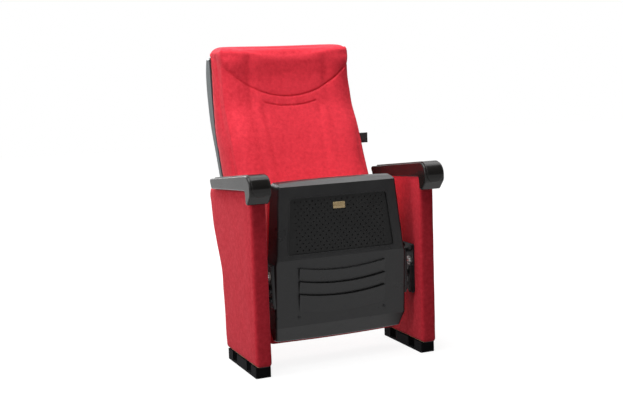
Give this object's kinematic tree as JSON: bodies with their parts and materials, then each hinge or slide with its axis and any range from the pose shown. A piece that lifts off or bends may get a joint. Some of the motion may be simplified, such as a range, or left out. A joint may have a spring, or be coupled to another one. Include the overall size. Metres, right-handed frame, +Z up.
{
  "type": "auditorium seat",
  "caption": "Tip-up auditorium seat on two upholstered standards with rolled armrests, a padded back in a hard shell and a perforated seat pan that folds up on side pivots.",
  "frame": {"origin": "on the floor, midway between the two feet, at the middle of the foot's length", "axes": "+X to the sitter's left across the chair, the chair's front faces -Y, +Z up"},
  "size_m": [0.64, 0.6211, 0.993],
  "materials": {
    "fabric_red": "woven velour, matte",
    "tab_dark": "plain woven tape",
    "plastic_black": "fine grain, satin",
    "arm_gloss": "smooth, semi-gloss",
    "shell_grey": "satin",
    "foot_black": "black paint",
    "steel_black": "black powder coat",
    "steel_zinc": "zinc plated",
    "plywood": "bare birch plywood",
    "nylon": "natural",
    "rubber": "matte",
    "felt": "needled felt",
    "badge_brass": "satin gold tone"
  },
  "bodies": {
    "chair": {"side_cover_left": "fabric_red", "side_cover_right": "fabric_red", "back_cushion": "fabric_red", "fabric_tab": "tab_dark", "armrest_left": "arm_gloss", "armrest_right": "arm_gloss", "arm_cap_left": "arm_gloss", "arm_cap_right": "arm_gloss", "back_shell": "shell_grey", "foot_left": "foot_black", "foot_right": "foot_black", "column_left": "steel_black", "column_right": "steel_black", "hinge_bracket_left": "steel_black", "hinge_bracket_right": "steel_black", "back_bracket_left": "steel_black", "back_bracket_right": "steel_black", "hinge_bracket_bolts": "steel_black", "foot_bolts": "steel_zinc", "arm_screws": "steel_zinc", "pin_nuts": "steel_zinc", "back_bracket_bolts": "steel_zinc", "back_side_screws": "steel_zinc", "shell_screws": "steel_zinc", "pivot_pin_left": "steel_zinc", "pivot_pin_right": "steel_zinc", "board_inner_left": "plywood", "board_inner_right": "plywood", "board_outer_left": "plywood", "board_outer_right": "plywood", "back_board": "plywood", "stop_buffers_left": "rubber", "stop_buffers_right": "rubber"},
    "seat": {"seat_pan": "plastic_black", "seat_grille": "plastic_black", "badge_plate": "badge_brass", "acoustic_felt": "felt", "seat_frame": "steel_black", "seat_board": "plywood", "seat_cushion": "fabric_red", "pan_screws": "steel_black", "hinge_plate_bolts": "steel_black", "seat_hinge_left": "steel_black", "seat_hinge_right": "steel_black", "bush_left": "nylon", "bush_right": "nylon", "return_spring_left": "steel_zinc", "return_spring_right": "steel_zinc"}
  },
  "joints": [
    {"name": "seat_tip", "type": "hinge", "parent": "chair", "child": "seat", "pos_m": [0, -0.0745, 0.294], "axis": [1, 0, 0], "range_deg": [0, 84], "stiffness_Nm_per_rad": 2.5, "springref_deg": -11.46}
  ]
}
